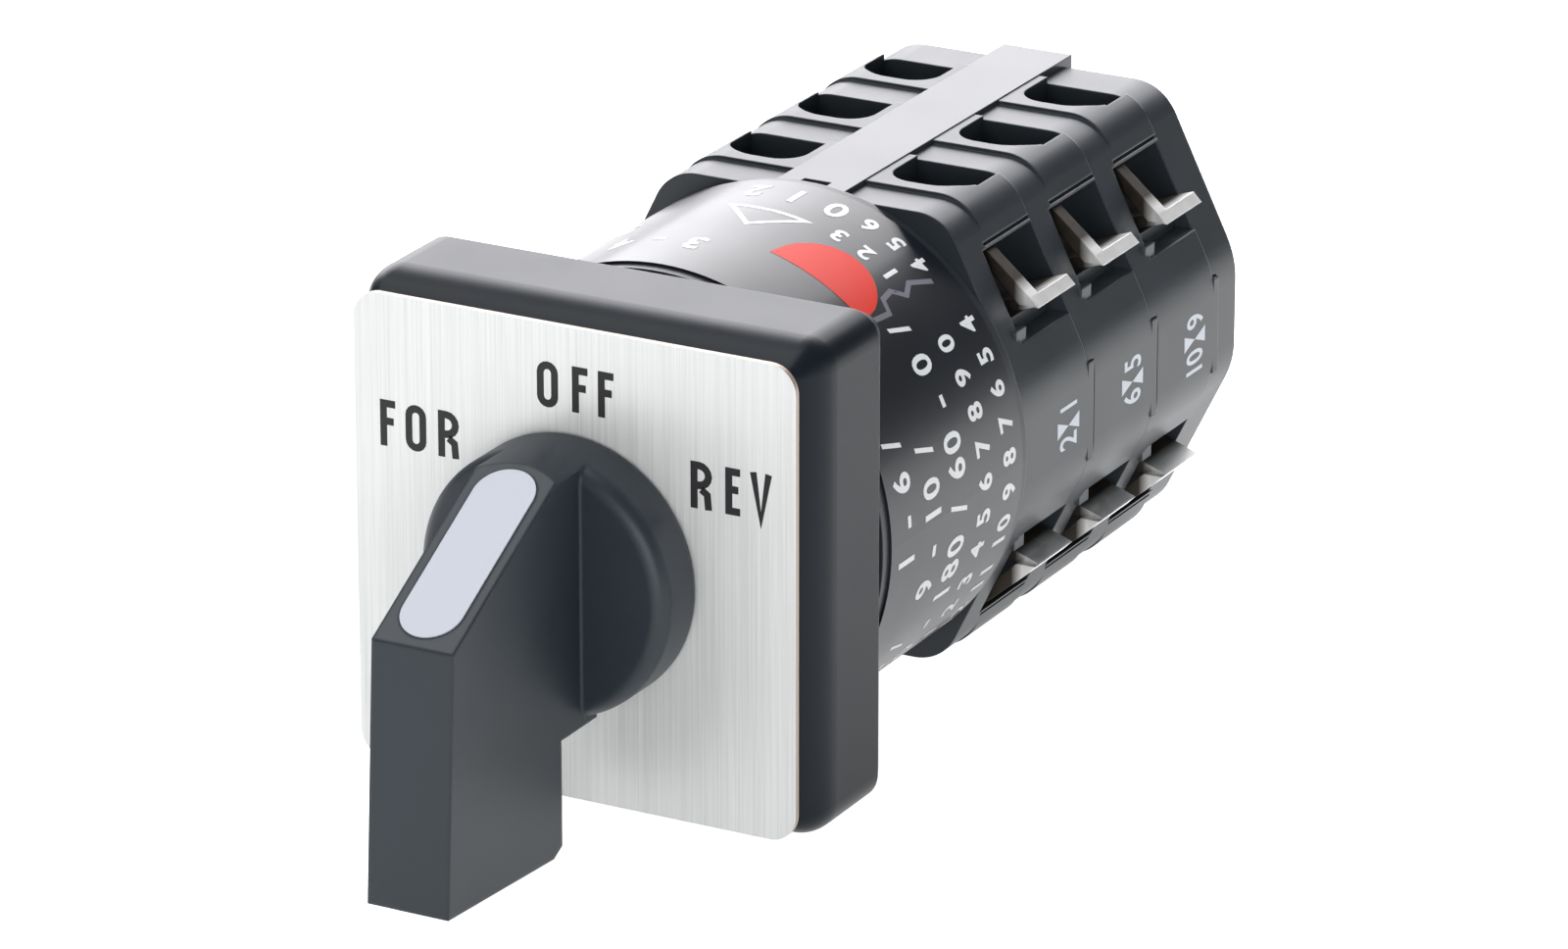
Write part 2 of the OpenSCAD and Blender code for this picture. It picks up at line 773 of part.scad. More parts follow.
module end_plate() {
    color(black)
        difference() {
            union() {
                along_y(deck_end, end_t - end_shoulder)
                    deck_outline(land_half_h - end_inset, deck_half_w - end_inset);
                along_y(rear_y - end_shoulder, end_shoulder)
                    deck_outline(land_half_h - end_inset * 3, deck_half_w - end_inset * 3);
            }
            strip_grooves(deck_end, end_t);
            tab_notches(deck_end);
            rod_y(0, 0, deck_end - end_t, end_t * 3, tail_r + bearing_play);
            rod_y(0, 0, deck_end + end_wall, end_t, clip_r + bush_wall);
            for (s = [-1, 1]) {
                rod_y(0, s * tie_z, deck_end - end_t, end_t * 3, tie_r + through_play);
                rod_y(0, s * tie_z, rear_y - tie_head_h, end_t, tie_head_r + through_play);
            }
        }
}

module locking_strip() {
    y0 = deck_y0 + strip_lead;
    color(dark)
        difference() {
            block(-strip_half_w, strip_half_w, y0, rear_y + strip_tail, strip_bed, strip_top);
            block(-strip_slot_half_w, strip_slot_half_w, y0 + strip_slot_l,
                y0 + strip_slot_l * 2, strip_top - strip_t / 2, strip_top * 2);
        }
}

module terminal(y0) {
    ya = y0 + term_y0;
    yb = y0 + term_y1;
    arm_top = window_z1 - term_t / 3;
    lip_in = lip_x1 - term_t * clip_share;
    difference() {
        union() {
            block(term_x0, term_x1, ya, yb, term_z, term_top);
            block(leg_x, leg_x + leg_t, y0 + screw_y - bridge_w / 2, y0 + screw_y + bridge_w / 2,
                leg_z, term_top);
            block(leg_x + leg_t / 2, leg_x + leg_t + pad_t, y0 + screw_y - bridge_w / 2,
                y0 + screw_y + bridge_w / 2, leg_z + leg_t / 3, leg_z + leg_t / 3 + pad_h);
            along_y(ya, term_arm_w)
                polygon([
                    [term_x1 - term_t, term_z], [term_x1 - term_t, arm_top],
                    [term_x1 + term_t, arm_top], [lip_in, lip_z + term_t * clip_share],
                    [lip_x1, lip_z], [lip_in - term_t, lip_z],
                    [term_x1 + term_t / 2, arm_top - term_t], [term_x1, arm_top - term_t],
                    [term_x1, term_z]]);
            along_y(ya + term_arm_w / 2, yb - ya - term_arm_w / 2)
                polygon([
                    [term_x1 - term_t, term_z], [term_x1 - term_t, term_top],
                    [bend_x - term_t / 3, term_top], [lip_in, lip_z + term_t * clip_share],
                    [lip_x1, lip_z], [bend_x, term_z]]);
        }
        translate([screw_x, y0 + screw_y, 0])
            cylinder(h = term_z * 2, r = screw_r + screw_play);
    }
}

module terminals(n) {
    color(silver)
        four_ways()
            terminal(deck_y0 + (n - 1) * deck_l);
}

module clamp_washers(n) {
    y = deck_y0 + (n - 1) * deck_l + screw_y;
    color(steel)
        four_ways()
            difference() {
                block(screw_x - washer_w / 2, screw_x + washer_w / 2, y - washer_w / 2,
                    y + washer_w / 2, term_top, term_top + washer_t);
                translate([screw_x, y, 0])
                    cylinder(h = term_z * 2, r = screw_r + through_play);
            }
}

module terminal_screws(n) {
    y = deck_y0 + (n - 1) * deck_l + screw_y;
    head_z = term_top + washer_t;
    color(steel)
        four_ways()
            translate([screw_x, y, 0])
                difference() {
                    union() {
                        translate([0, 0, term_z - screw_head_h * tip_share])
                            cylinder(h = head_z - term_z + screw_head_h * tip_share + slot_w,
                                r = screw_r);
                        translate([0, 0, head_z])
                            cylinder(h = screw_head_h, r = screw_head_r);
                    }
                    block(-screw_head_r, screw_head_r, -slot_w / 2, slot_w / 2,
                        head_z + screw_head_h - slot_d, head_z + screw_head_h * 2);
                    block(-slot_w / 2, slot_w / 2, -screw_head_r, screw_head_r,
                        head_z + screw_head_h - slot_d, head_z + screw_head_h * 2);
                }
}

module tie_screws() {
    head_y = rear_y - tie_head_h;
    color(steel)
        for (s = [-1, 1]) {
            difference() {
                union() {
                    rod_y(0, s * tie_z, deck_y0 - tie_grip, head_y - deck_y0 + tie_grip, tie_r);
                    rod_y(0, s * tie_z, head_y, tie_head_h - slot_w / 4, tie_head_r);
                }
                block(-tie_head_r, tie_head_r, rear_y - slot_d, rear_y + slot_d,
                    s * tie_z - slot_w / 2, s * tie_z + slot_w / 2);
            }
        }
}

// Round base with a lever whose sloping top carries the pointer.
module knob_base() {
    translate([0, -knob_back, 0])
        rotate([90, 0, 0])
            rotate_extrude() {
                square([knob_r, knob_base_l - knob_edge_r]);
                square([knob_r - knob_edge_r, knob_base_l]);
                translate([knob_r - knob_edge_r, knob_base_l - knob_edge_r])
                    circle(r = knob_edge_r);
            }
}

module knob_lever() {
    root = knob_back + knob_base_l / 2;
    intersection() {
        translate([-lever_half, 0, 0])
            rotate([90, 0, 90])
                linear_extrude(height = lever_t)
                    polygon([
                        [-root, knob_r * 2], [-slope_top_reach, knob_r * 2],
                        [-slope_top_reach, knob_r], [-lever_top_reach, lever_top_z],
                        [-lever_tip_reach, -lever_drop],
                        [-lever_back_reach - lever_heel, -lever_foot_drop],
                        [-lever_back_reach, lever_heel / 2 - lever_foot_drop],
                        [-lever_back_reach, -knob_r], [-root, -knob_r]]);
        union() {
            rod_y(0, 0, -lever_tip_reach * 2, lever_tip_reach * 2, knob_r);
            block(-lever_t, lever_t, -lever_tip_reach * 2, 0, -lever_drop * 2, lever_top_z);
        }
    }
}

module knob() {
    hub_half = shaft_sq / 2 + square_play;
    color(black)
        difference() {
            union() {
                knob_base();
                knob_lever();
            }
            along_y(-knob_back - knob_hollow_d, knob_hollow_d * 2)
                difference() {
                    circle(r = knob_r - knob_skirt);
                    circle(r = knob_hub_r);
                }
            block(-hub_half, hub_half, -knob_back - socket_d, 0, -hub_half, hub_half);
            translate([0, -knob_back - knob_hollow_d / 2, -knob_r * 2])
                cylinder(h = knob_r * 2, r = set_r + screw_play);
            on_slope()
                insert_outline(0);
        }
}

module on_slope() {
    translate([0, -lever_top_reach, lever_top_z])
        rotate([slope_deg, 0, 0])
            children();
}

// Local frame of the slope: X across, Y up the slope, Z out of it.
module insert_outline(proud) {
    half = insert_w / 2;
    translate([0, insert_margin + half, -insert_t])
        linear_extrude(height = proud > 0 ? insert_t + proud : insert_t * 2) {
            circle(r = half);
            translate([-half, 0])
                square([insert_w, insert_l - insert_w]);
            translate([0, insert_l - insert_w])
                circle(r = half);
        }
}

module pointer_insert() {
    color(pale)
        on_slope()
            insert_outline(insert_proud);
}

module knob_set_screw() {
    color(steel)
        translate([0, -knob_back - knob_hollow_d / 2, 0])
            difference() {
                translate([0, 0, -shaft_sq / 2 - set_l])
                    cylinder(h = set_l, r = set_r);
                block(-set_r, set_r, -slot_w / 2, slot_w / 2, -shaft_sq / 2 - set_l * 2,
                    slot_d - shaft_sq / 2 - set_l);
            }
}

module switch_shaft() {
    sq = shaft_sq / 2;
    nose = knob_back + socket_d - slot_d;
    collar_y = drum_front_t - spigot_d + bearing_play * 2;
    groove_y = deck_end + end_wall + bearing_play * 2;
    color(steel)
        difference() {
            union() {
                block(-sq, sq, -nose, deck_end - hub_gap, -sq, sq);
                rod_y(0, 0, -knob_back, knob_back + collar_y + collar_t, journal_r);
                rod_y(0, 0, collar_y, collar_t, collar_r);
                rod_y(0, 0, deck_end - hub_gap * 2, rear_y - deck_end - hub_gap, tail_r);
            }
            difference() {
                rod_y(0, 0, groove_y, clip_t + bearing_play, tail_r * 2);
                rod_y(0, 0, groove_y - clip_t, clip_t * 4, tail_r - clip_groove);
            }
        }
}

// Six-notch wheel with the stop arm that limits the throw.
module detent_wheel() {
    hole = shaft_sq / 2 + square_play;
    hub_y = drum_front_t - spigot_d + collar_t + hub_gap;
    color(natural)
        difference() {
            union() {
                rod_y(0, 0, hub_y, deck_y0 - deck_l / 4 - hub_gap - hub_y, cam_hub_r);
                wheel_disc();
            }
            block(-hole, hole, -deck_y0, deck_y0 * 2, -hole, hole);
        }
}

module wheel_disc() {
    along_y(wheel_y0, wheel_w) {
        difference() {
            circle(r = wheel_r);
            for (a = [30 : 60 : 330]) {
                rotate(a)
                    translate([wheel_r + notch_r * (1 - notch_share), 0])
                        circle(r = notch_r);
            }
        }
        translate([-stop_half_w, 0])
            square([stop_half_w * 2, stop_r]);
    }
}

// Both plungers of a deck ride one cam: its radius grows evenly with the angle.
function ramp(a) = cam_r + cam_step * a;
function cam_point(a) = [ramp(a) * cos(a), ramp(a) * sin(a)];
function cam_left(a) = [-ramp(a) * cos(a), ramp(a) * sin(a)];

module cam(n) {
    y0 = deck_y0 + (n - 1) * deck_l;
    hole = shaft_sq / 2 + square_play;
    front = n == 1 ? y0 - deck_l / 4 : y0 + hub_gap / 2;
    top_r = ramp(ramp_deg);
    low_r = ramp(-ramp_deg);
    color(natural)
        difference() {
            union() {
                along_y(y0 + plunger_y0, cam_w)
                    polygon(concat(
                        [for (a = [-ramp_deg : 4 : ramp_deg]) cam_point(a)],
                        [for (a = [ramp_deg + 4 : 4 : 176 - ramp_deg])
                            [top_r * cos(a), top_r * sin(a)]],
                        [for (a = [ramp_deg : -4 : -ramp_deg]) cam_left(a)],
                        [for (a = [184 + ramp_deg : 4 : 356 - ramp_deg])
                            [low_r * cos(a), low_r * sin(a)]]));
                rod_y(0, 0, front, y0 + deck_l - hub_gap / 2 - front, cam_hub_r);
            }
            block(-hole, hole, y0 - deck_l, y0 + deck_l * 2, -hole, hole);
        }
}

module retaining_clip() {
    groove_y = deck_end + end_wall + bearing_play * 2;
    inner = tail_r - clip_groove + bearing_play;
    color(steel)
        along_y(groove_y, clip_t)
            difference() {
                circle(r = clip_r);
                circle(r = inner);
                translate([-inner * clip_share, 0])
                    square([inner * clip_share * 2, clip_r * 2]);
            }
}

module plunger(n) {
    y0 = deck_y0 + (n - 1) * deck_l + plunger_y0;
    nose = cam_r + nose_gap;
    mid = y0 + (plunger_w - bridge_w) / 2;
    color(natural)
        difference() {
            along_y(y0, plunger_w)
                polygon([
                    [nose, -nose_half_h], [nose + nose_l, -plunger_half_h],
                    [heel_x, -plunger_half_h], [heel_x, plunger_half_h],
                    [nose + nose_l, plunger_half_h], [nose, nose_half_h]]);
            block(bridge_x, bridge_x + bridge_t, mid, mid + bridge_w,
                -plunger_half_h * 2, plunger_half_h * 2);
        }
}

module bridge(n) {
    mid = deck_y0 + (n - 1) * deck_l + plunger_y0 + (plunger_w - bridge_w) / 2;
    color(copper)
        block(bridge_x, bridge_x + bridge_t, mid, mid + bridge_w, -bridge_half_l, bridge_half_l);
}

coil_l = seat_x - heel_x - spring_wire_r * 2;
coil_turns = max(1, floor(coil_l / (spring_wire_r * coil_share)));
function coil_at(t) = [
    heel_x + spring_wire_r + coil_l * t,
    spring_r * cos(360 * coil_turns * t),
    spring_r * sin(360 * coil_turns * t)];
function coil_way(t) = unit([
    coil_l,
    -spring_r * 2 * PI * coil_turns * sin(360 * coil_turns * t),
    spring_r * 2 * PI * coil_turns * cos(360 * coil_turns * t)]);
function coil_out(t) = [0, cos(360 * coil_turns * t), sin(360 * coil_turns * t)];
function coil_ring(t) = [for (k = [0 : coil_sides - 1])
    let (a = 360 * k / coil_sides)
    coil_at(t) + spring_wire_r * (cos(a) * coil_out(t)
        + sin(a) * cross(coil_way(t), coil_out(t)))];
echo(coil_gap = coil_l / coil_turns - spring_wire_r * 2);

module contact_spring(n) {
    rings = coil_turns * coil_steps;
    s = coil_sides;
    y = deck_y0 + (n - 1) * deck_l + plunger_y0 + plunger_w / 2;
    color(steel)
        translate([0, y, 0])
            polyhedron(
                points = [for (i = [0 : rings]) each coil_ring(i / rings)],
                faces = concat(
                    [[for (k = [0 : s - 1]) k]],
                    [for (i = [0 : rings - 1]) for (k = [0 : s - 1]) each [
                        [i * s + k, (i + 1) * s + k, (i + 1) * s + (k + 1) % s],
                        [i * s + k, (i + 1) * s + (k + 1) % s, i * s + (k + 1) % s]]],
                    [[for (k = [s - 1 : -1 : 0]) rings * s + k]]));
}

module left() {
    mirror([1, 0, 0])
        children();
}

bezel_frame();
face_plate();
bezel_screws();
shaft_bush();
mechanism_housing();
label_sleeve();
detent_spring();
contact_deck(1);  // contact_deck_1
contact_deck(2);  // contact_deck_2
contact_deck(3);  // contact_deck_3
end_plate();
locking_strip();  // locking_strip_top
mirror([0, 0, 1]) locking_strip();  // locking_strip_bottom
terminals(1);  // terminals_1
terminals(2);  // terminals_2
terminals(3);  // terminals_3
clamp_washers(1);  // clamp_washers_1
clamp_washers(2);  // clamp_washers_2
clamp_washers(3);  // clamp_washers_3
terminal_screws(1);  // terminal_screws_1
terminal_screws(2);  // terminal_screws_2
terminal_screws(3);  // terminal_screws_3
tie_screws();
knob();
pointer_insert();
knob_set_screw();
switch_shaft();
detent_wheel();
cam(1);  // cam_1
cam(2);  // cam_2
cam(3);  // cam_3
retaining_clip();
plunger(1);  // plunger_1_right
plunger(2);  // plunger_2_right
plunger(3);  // plunger_3_right
left() plunger(1);  // plunger_1_left
left() plunger(2);  // plunger_2_left
left() plunger(3);  // plunger_3_left
bridge(1);  // bridge_1_right
bridge(2);  // bridge_2_right
bridge(3);  // bridge_3_right
left() bridge(1);  // bridge_1_left
left() bridge(2);  // bridge_2_left
left() bridge(3);  // bridge_3_left
contact_spring(1);  // contact_spring_1_right
contact_spring(2);  // contact_spring_2_right
contact_spring(3);  // contact_spring_3_right
left() contact_spring(1);  // contact_spring_1_left
left() contact_spring(2);  // contact_spring_2_left
left() contact_spring(3);  // contact_spring_3_left
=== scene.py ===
import json
import math
import bpy
from mathutils import Matrix, Vector

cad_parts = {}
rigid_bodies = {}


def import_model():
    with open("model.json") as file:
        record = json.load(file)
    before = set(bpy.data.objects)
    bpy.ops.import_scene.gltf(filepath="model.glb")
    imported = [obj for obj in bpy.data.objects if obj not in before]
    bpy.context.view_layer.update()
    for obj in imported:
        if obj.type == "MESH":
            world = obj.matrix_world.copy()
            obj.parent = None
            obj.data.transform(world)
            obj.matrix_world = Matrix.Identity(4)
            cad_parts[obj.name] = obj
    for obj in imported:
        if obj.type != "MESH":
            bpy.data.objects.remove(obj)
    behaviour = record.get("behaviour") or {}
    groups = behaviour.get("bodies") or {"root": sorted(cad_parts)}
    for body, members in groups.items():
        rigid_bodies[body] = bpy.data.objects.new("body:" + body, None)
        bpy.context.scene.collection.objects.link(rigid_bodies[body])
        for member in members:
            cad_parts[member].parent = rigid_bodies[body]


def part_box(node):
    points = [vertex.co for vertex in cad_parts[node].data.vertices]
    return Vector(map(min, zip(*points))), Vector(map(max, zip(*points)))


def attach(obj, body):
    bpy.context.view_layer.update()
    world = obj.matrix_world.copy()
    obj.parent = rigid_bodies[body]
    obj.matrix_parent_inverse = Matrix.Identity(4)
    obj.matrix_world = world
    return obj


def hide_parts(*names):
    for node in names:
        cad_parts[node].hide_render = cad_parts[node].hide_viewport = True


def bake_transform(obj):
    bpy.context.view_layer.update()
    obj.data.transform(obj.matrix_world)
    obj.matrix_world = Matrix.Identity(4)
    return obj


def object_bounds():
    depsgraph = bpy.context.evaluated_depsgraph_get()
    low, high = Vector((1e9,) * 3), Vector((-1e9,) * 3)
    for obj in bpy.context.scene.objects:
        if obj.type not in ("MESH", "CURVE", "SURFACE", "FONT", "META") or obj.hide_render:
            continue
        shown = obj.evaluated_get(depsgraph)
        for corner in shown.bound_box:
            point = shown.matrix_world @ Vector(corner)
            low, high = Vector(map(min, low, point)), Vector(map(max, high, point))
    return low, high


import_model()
cad_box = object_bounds()

# Camera.
# It stands to the operator's right and above the knob and looks along the switch, from the
# place that the square plate, the knob's circles and the seams of the decks give.
mm = 0.001
azimuth = math.radians(28.28)
elevation = math.radians(20.56)
focal_px = 8641
frame_px = (1600, 968)
origin_px = (673.2, 520.3)
distance = 816.2 * mm
back = Vector((
    math.sin(azimuth) * math.cos(elevation),
    -math.cos(azimuth) * math.cos(elevation),
    math.sin(elevation)))
right = Vector((0, 0, 1)).cross(back).normalized()
up = back.cross(right)
aside = (origin_px[0] - frame_px[0] / 2) * distance / focal_px
above = (frame_px[1] / 2 - origin_px[1]) * distance / focal_px
camera = bpy.data.objects.new("camera", bpy.data.cameras.new("camera"))
bpy.context.collection.objects.link(camera)
camera.data.sensor_width = 36
camera.data.lens = camera.data.sensor_width * focal_px / frame_px[0]
camera.data.clip_start = distance / 10
camera.matrix_world = (
    Matrix.Translation(back * distance - right * aside - up * above)
    @ Matrix((right, up, back)).transposed().to_4x4())
bpy.context.scene.camera = camera

# Studio.
# A white paper sweep lies under the switch. Wide soft lamps stand behind and above on the
# left, in front, and low on the right, as round a small product on a light table.
bpy.context.scene.view_settings.view_transform = "Standard"


def wide_lamp(name, at, aim, size, watts, tint=(1, 1, 1)):
    """Rectangular soft lamp that stands at one point and looks at another."""
    lamp = bpy.data.lights.new(name, "AREA")
    lamp.shape = "RECTANGLE"
    lamp.size, lamp.size_y = size
    lamp.energy = watts
    lamp.color = tint
    holder = bpy.data.objects.new(name, lamp)
    bpy.context.collection.objects.link(holder)
    holder.location = at
    holder.rotation_euler = (Vector(aim) - Vector(at)).to_track_quat("-Z", "Y").to_euler()


wide_lamp(
    "lamp_back_left", (-0.28, 0.56, 0.27), (0, 0.04, 0), (0.8, 0.45), 6.2, (0.98, 0.97, 1))
wide_lamp("lamp_above", (-0.2, -0.04, 0.56), (0, 0.02, 0), (0.5, 0.5), 2.8)
wide_lamp("lamp_left", (-0.45, -0.25, 0.2), (0, 0, 0), (0.3, 0.5), 0.4)
wide_lamp("lamp_front", (0.34, -0.6, 0.08), (0, 0, -0.01), (0.5, 0.4), 3.2)
wide_lamp("lamp_right_low", (0.42, 0.1, 0.03), (0, 0.03, 0), (0.4, 0.25), 0.24, (0.94, 0.98, 1))


def new_material(name):
    """An empty material, with its nodes and links."""
    material = bpy.data.materials.new(name)
    material.use_nodes = True
    material.node_tree.nodes.clear()
    return material, material.node_tree.nodes, material.node_tree.links


def seen_directly(nodes, links):
    """1 for what the camera sees straight, mirrored or through glass, and 0 for other rays."""
    rays = nodes.new("ShaderNodeLightPath")
    first = nodes.new("ShaderNodeMath")
    first.operation = "MAXIMUM"
    links.new(rays.outputs["Is Camera Ray"], first.inputs[0])
    links.new(rays.outputs["Is Glossy Ray"], first.inputs[1])
    both = nodes.new("ShaderNodeMath")
    both.operation = "MAXIMUM"
    links.new(first.outputs[0], both.inputs[0])
    links.new(rays.outputs["Is Transmission Ray"], both.inputs[1])
    return both.outputs[0]


world = bpy.data.worlds.new("studio")
bpy.context.scene.world = world
world.use_nodes = True
nodes, links = world.node_tree.nodes, world.node_tree.links
nodes.clear()
room = nodes.new("ShaderNodeBackground")
room.inputs["Color"].default_value = (0.9, 0.95, 1, 1)
room.inputs["Strength"].default_value = 0.16
white = nodes.new("ShaderNodeBackground")
white.inputs["Color"].default_value = (1, 1, 1, 1)
rays = nodes.new("ShaderNodeLightPath")
pick = nodes.new("ShaderNodeMixShader")
out = nodes.new("ShaderNodeOutputWorld")
links.new(rays.outputs["Is Camera Ray"], pick.inputs[0])
links.new(room.outputs[0], pick.inputs[1])
links.new(white.outputs[0], pick.inputs[2])
links.new(pick.outputs[0], out.inputs["Surface"])

sweep_material, nodes, links = new_material("white_sweep")
paper = nodes.new("ShaderNodeBsdfDiffuse")
paper.inputs["Color"].default_value = (0.86, 0.86, 0.86, 1)
glow = nodes.new("ShaderNodeEmission")
glow.inputs["Strength"].default_value = 1
lit = nodes.new("ShaderNodeAddShader")
pick = nodes.new("ShaderNodeMixShader")
out = nodes.new("ShaderNodeOutputMaterial")
links.new(paper.outputs[0], lit.inputs[0])
links.new(glow.outputs[0], lit.inputs[1])
links.new(seen_directly(nodes, links), pick.inputs[0])
links.new(paper.outputs[0], pick.inputs[1])
links.new(lit.outputs[0], pick.inputs[2])
links.new(pick.outputs[0], out.inputs["Surface"])
sweep_gap = 0.4 * mm
sweep_z = cad_box[0].z - sweep_gap
half_width = 3
sweep = bpy.data.meshes.new("white_sweep")
sweep.from_pydata(
    [(x * half_width, y * half_width, sweep_z) for x, y in ((-1, -1), (1, -1), (1, 1), (-1, 1))],
    [], [(0, 1, 2, 3)])
sweep.materials.append(sweep_material)
floor = bpy.data.objects.new("white_sweep", sweep)
bpy.context.collection.objects.link(floor)

# Bezel frame.
# One moulding of black plastic with a fine spark-eroded grain. Its rounded rim stands in
# front of the panel and its pad carries the face plate.


def moulded(
        name, colour, roughness, grain=0.06, grain_size=0.09, edge=0.18, mottle=0.18, coat=0,
        shine=0.26):
    """Moulded plastic: soft edges, fine grain, and a slight unevenness of tone and gloss."""
    cloud_size, grain_depth, gloss_spread = 9 * mm, 0.04 * mm, 0.14
    material, nodes, links = new_material(name)
    out = nodes.new("ShaderNodeOutputMaterial")
    skin = nodes.new("ShaderNodeBsdfPrincipled")
    skin.inputs["Specular IOR Level"].default_value = shine
    skin.inputs["Coat Weight"].default_value = coat
    skin.inputs["Coat Roughness"].default_value = 0.12
    place = nodes.new("ShaderNodeTexCoord")
    fine = nodes.new("ShaderNodeTexNoise")
    fine.inputs["Scale"].default_value = 1 / (grain_size * mm)
    fine.inputs["Detail"].default_value = 2
    cloudy = nodes.new("ShaderNodeTexNoise")
    cloudy.inputs["Scale"].default_value = 1 / cloud_size
    cloudy.inputs["Detail"].default_value = 5
    tone = nodes.new("ShaderNodeMix")
    tone.data_type = "RGBA"
    tone.inputs["A"].default_value = (*[c * (1 - mottle) for c in colour], 1)
    tone.inputs["B"].default_value = (*[c * (1 + mottle) for c in colour], 1)
    gloss = nodes.new("ShaderNodeMapRange")
    gloss.inputs["To Min"].default_value = roughness * (1 - gloss_spread)
    gloss.inputs["To Max"].default_value = roughness * (1 + gloss_spread)
    soft = nodes.new("ShaderNodeBevel")
    soft.samples = 6
    soft.inputs["Radius"].default_value = edge * mm
    bump = nodes.new("ShaderNodeBump")
    bump.inputs["Strength"].default_value = grain
    bump.inputs["Distance"].default_value = grain_depth
    for texture in (fine, cloudy):
        links.new(place.outputs["Object"], texture.inputs["Vector"])
    links.new(cloudy.outputs["Fac"], tone.inputs["Factor"])
    links.new(tone.outputs["Result"], skin.inputs["Base Color"])
    links.new(cloudy.outputs["Fac"], gloss.inputs["Value"])
    links.new(gloss.outputs["Result"], skin.inputs["Roughness"])
    links.new(fine.outputs["Fac"], bump.inputs["Height"])
    links.new(soft.outputs["Normal"], bump.inputs["Normal"])
    links.new(bump.outputs["Normal"], skin.inputs["Normal"])
    links.new(skin.outputs[0], out.inputs["Surface"])
    return material


def dress(material, *names):
    """Gives the named CAD nodes a material in place of their own."""
    for name in names:
        mesh = bpy.data.objects[name].data
        mesh.materials.clear()
        mesh.materials.append(material)


bezel_black = moulded("bezel_black", (0.009, 0.013, 0.018), 0.33, grain=0.1, edge=0.3, shine=0.13)
dress(bezel_black, "bezel_frame")

# Face plate.
# A thin sheet, brushed up and down and lacquered, stuck on the bezel's pad. Its sheared edge
# shows a warm brown line.


def brushed(name, colour, roughness, across, along, depth, streak):
    """Lacquered brushed sheet: streaks stretched along Z in tone, gloss and height."""
    bare_metal, scratch_depth = 0.2, 0.02 * mm
    smoothest, roughest = 0.45, 1.5
    edge_brown = (0.42, 0.33, 0.27)
    material, nodes, links = new_material(name)
    out = nodes.new("ShaderNodeOutputMaterial")
    skin = nodes.new("ShaderNodeBsdfPrincipled")
    skin.inputs["Metallic"].default_value = bare_metal
    place = nodes.new("ShaderNodeTexCoord")
    stretch = nodes.new("ShaderNodeMapping")
    finely, slowly = 1 / (across * mm), 1 / (along * mm)
    stretch.inputs["Scale"].default_value = (finely, finely, slowly)
    lines = nodes.new("ShaderNodeTexNoise")
    lines.inputs["Scale"].default_value = 1
    lines.inputs["Detail"].default_value = 6
    lines.inputs["Roughness"].default_value = 0.65
    tone = nodes.new("ShaderNodeMix")
    tone.data_type = "RGBA"
    tone.inputs["A"].default_value = (*[c * (1 - streak) for c in colour], 1)
    tone.inputs["B"].default_value = (*[min(1, c * (1 + streak)) for c in colour], 1)
    gloss = nodes.new("ShaderNodeMapRange")
    gloss.inputs["To Min"].default_value = roughness * smoothest
    gloss.inputs["To Max"].default_value = roughness * roughest
    bump = nodes.new("ShaderNodeBump")
    bump.inputs["Strength"].default_value = depth
    bump.inputs["Distance"].default_value = scratch_depth
    facing = nodes.new("ShaderNodeSeparateXYZ")
    flat = nodes.new("ShaderNodeMath")
    flat.operation = "ABSOLUTE"
    sheared = nodes.new("ShaderNodeMix")
    sheared.data_type = "RGBA"
    sheared.inputs["A"].default_value = (*edge_brown, 1)
    links.new(place.outputs["Normal"], facing.inputs["Vector"])
    links.new(facing.outputs["Y"], flat.inputs[0])
    links.new(flat.outputs[0], sheared.inputs["Factor"])
    links.new(place.outputs["Object"], stretch.inputs["Vector"])
    links.new(stretch.outputs["Vector"], lines.inputs["Vector"])
    links.new(lines.outputs["Fac"], tone.inputs["Factor"])
    links.new(tone.outputs["Result"], sheared.inputs["B"])
    links.new(sheared.outputs["Result"], skin.inputs["Base Color"])
    links.new(lines.outputs["Fac"], gloss.inputs["Value"])
    links.new(gloss.outputs["Result"], skin.inputs["Roughness"])
    links.new(lines.outputs["Fac"], bump.inputs["Height"])
    links.new(bump.outputs["Normal"], skin.inputs["Normal"])
    links.new(skin.outputs[0], out.inputs["Surface"])
    return material


plate_metal = brushed(
    "plate_metal", (0.72, 0.73, 0.722), 0.36, across=0.22, along=22, depth=0.45, streak=0.26)
dress(plate_metal, "face_plate")

# Printed legends of the face plate.
# Narrow bold capitals, screen printed in black beside the three places of the knob.
ink_depth = 0.02 * mm
plate_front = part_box("face_plate")[0].y


def joined(name, meshes):
    """One mesh of several."""
    corners, faces = [], []
    for mesh in meshes:
        start = len(corners)
        corners += [v.co.copy() for v in mesh.vertices]
        faces += [[start + i for i in p.vertices] for p in mesh.polygons]
    whole = bpy.data.meshes.new(name)
    whole.from_pydata(corners, [], faces)
    return whole


def print_on(name, meshes, material, body):
    """Joins printed meshes into one piece that rides on a body."""
    piece = bpy.data.objects.new(name, joined(name, meshes))
    bpy.context.collection.objects.link(piece)
    piece.data.materials.append(material)
    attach(piece, body)


